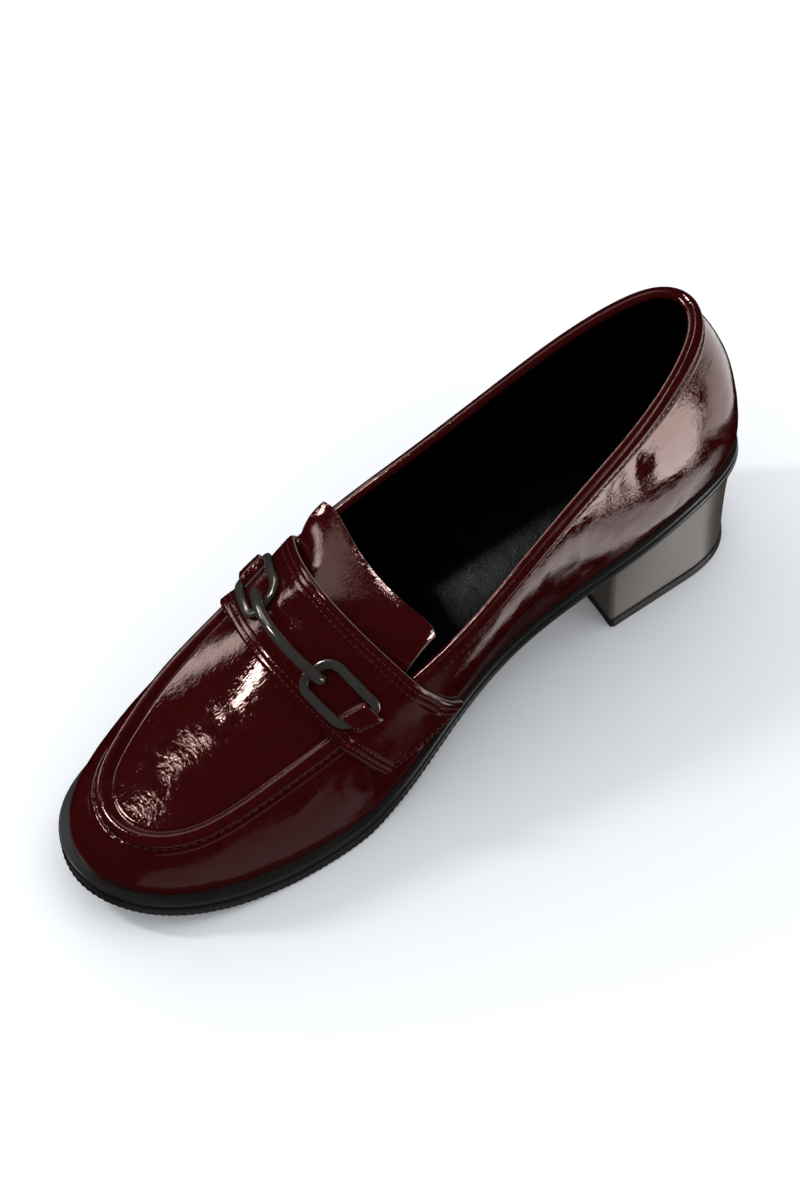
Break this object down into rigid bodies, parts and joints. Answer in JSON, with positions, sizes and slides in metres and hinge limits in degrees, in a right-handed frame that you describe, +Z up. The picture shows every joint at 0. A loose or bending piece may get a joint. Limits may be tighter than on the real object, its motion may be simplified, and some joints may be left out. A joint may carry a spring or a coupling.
{
  "type": "loafer pump",
  "caption": "Right loafer pump in oxblood crinkle patent, moc toe, tongue, saddle strap with snaffle bit, welted sole and block heel.",
  "frame": {"origin": "middle of the heel's floor face", "axes": "+Y towards the toe, +X towards the outer side, +Z up"},
  "size_m": [0.0854, 0.2646, 0.1142],
  "materials": {
    "oxblood_patent": "crinkled patent, high gloss",
    "black_lining": "soft satin",
    "black_rubber": "satin moulded",
    "dark_heel": "lacquered stacked heel",
    "gunmetal": "polished dark metal"
  },
  "bodies": {
    "root": {"outsole": "black_rubber", "heel_block": "dark_heel", "heel_top_lift": "black_rubber", "upper": "oxblood_patent", "insole": "black_lining", "tongue": "oxblood_patent", "strap": "oxblood_patent", "keeper_tab_inner": "oxblood_patent", "keeper_tab_outer": "oxblood_patent", "bit_link_inner": "gunmetal", "bit_link_outer": "gunmetal", "bit_bar": "gunmetal", "heel_stud": "gunmetal"}
  },
  "joints": []
}
